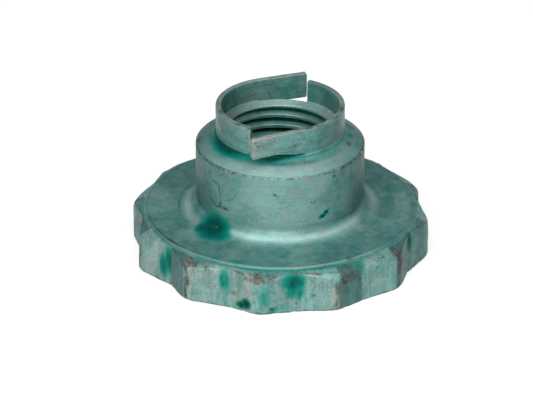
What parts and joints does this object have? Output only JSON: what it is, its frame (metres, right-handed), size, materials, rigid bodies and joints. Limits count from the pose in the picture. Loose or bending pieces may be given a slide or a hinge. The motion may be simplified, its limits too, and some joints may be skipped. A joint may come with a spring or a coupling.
{
  "type": "lobed hand nut",
  "caption": "Hand nut with a lobed grip ring, a flanged hub and a threaded sleeve whose slit collar carries two bent-out spring tongues.",
  "frame": {"origin": "on the thread's axis, on the plane of the flat underside", "axes": "+Z along the thread's axis, towards the slit collar; -Y towards the front tongue"},
  "size_m": [0.0772, 0.0772, 0.0407],
  "materials": {
    "rim": "forged steel, zinc plated, under worn translucent green lacquer",
    "hub": "turned steel, zinc plated, under translucent green lacquer",
    "sleeve": "turned steel, zinc plated, under thin translucent green lacquer"
  },
  "bodies": {
    "nut": {"grip_ring": "rim", "flanged_hub": "hub", "threaded_sleeve": "sleeve"},
    "front_tongue": {"front_tongue": "sleeve"},
    "rear_tongue": {"rear_tongue": "sleeve"}
  },
  "joints": [
    {"name": "front_tongue_flex", "type": "hinge", "parent": "nut", "child": "front_tongue", "pos_m": [0.00608, -0.01467, 0.0374], "axis": [0, 0, -1], "range_deg": [0, 13], "stiffness_Nm_per_rad": 2},
    {"name": "rear_tongue_flex", "type": "hinge", "parent": "nut", "child": "rear_tongue", "pos_m": [-0.00608, 0.01467, 0.0374], "axis": [0, 0, -1], "range_deg": [0, 6], "stiffness_Nm_per_rad": 2}
  ]
}
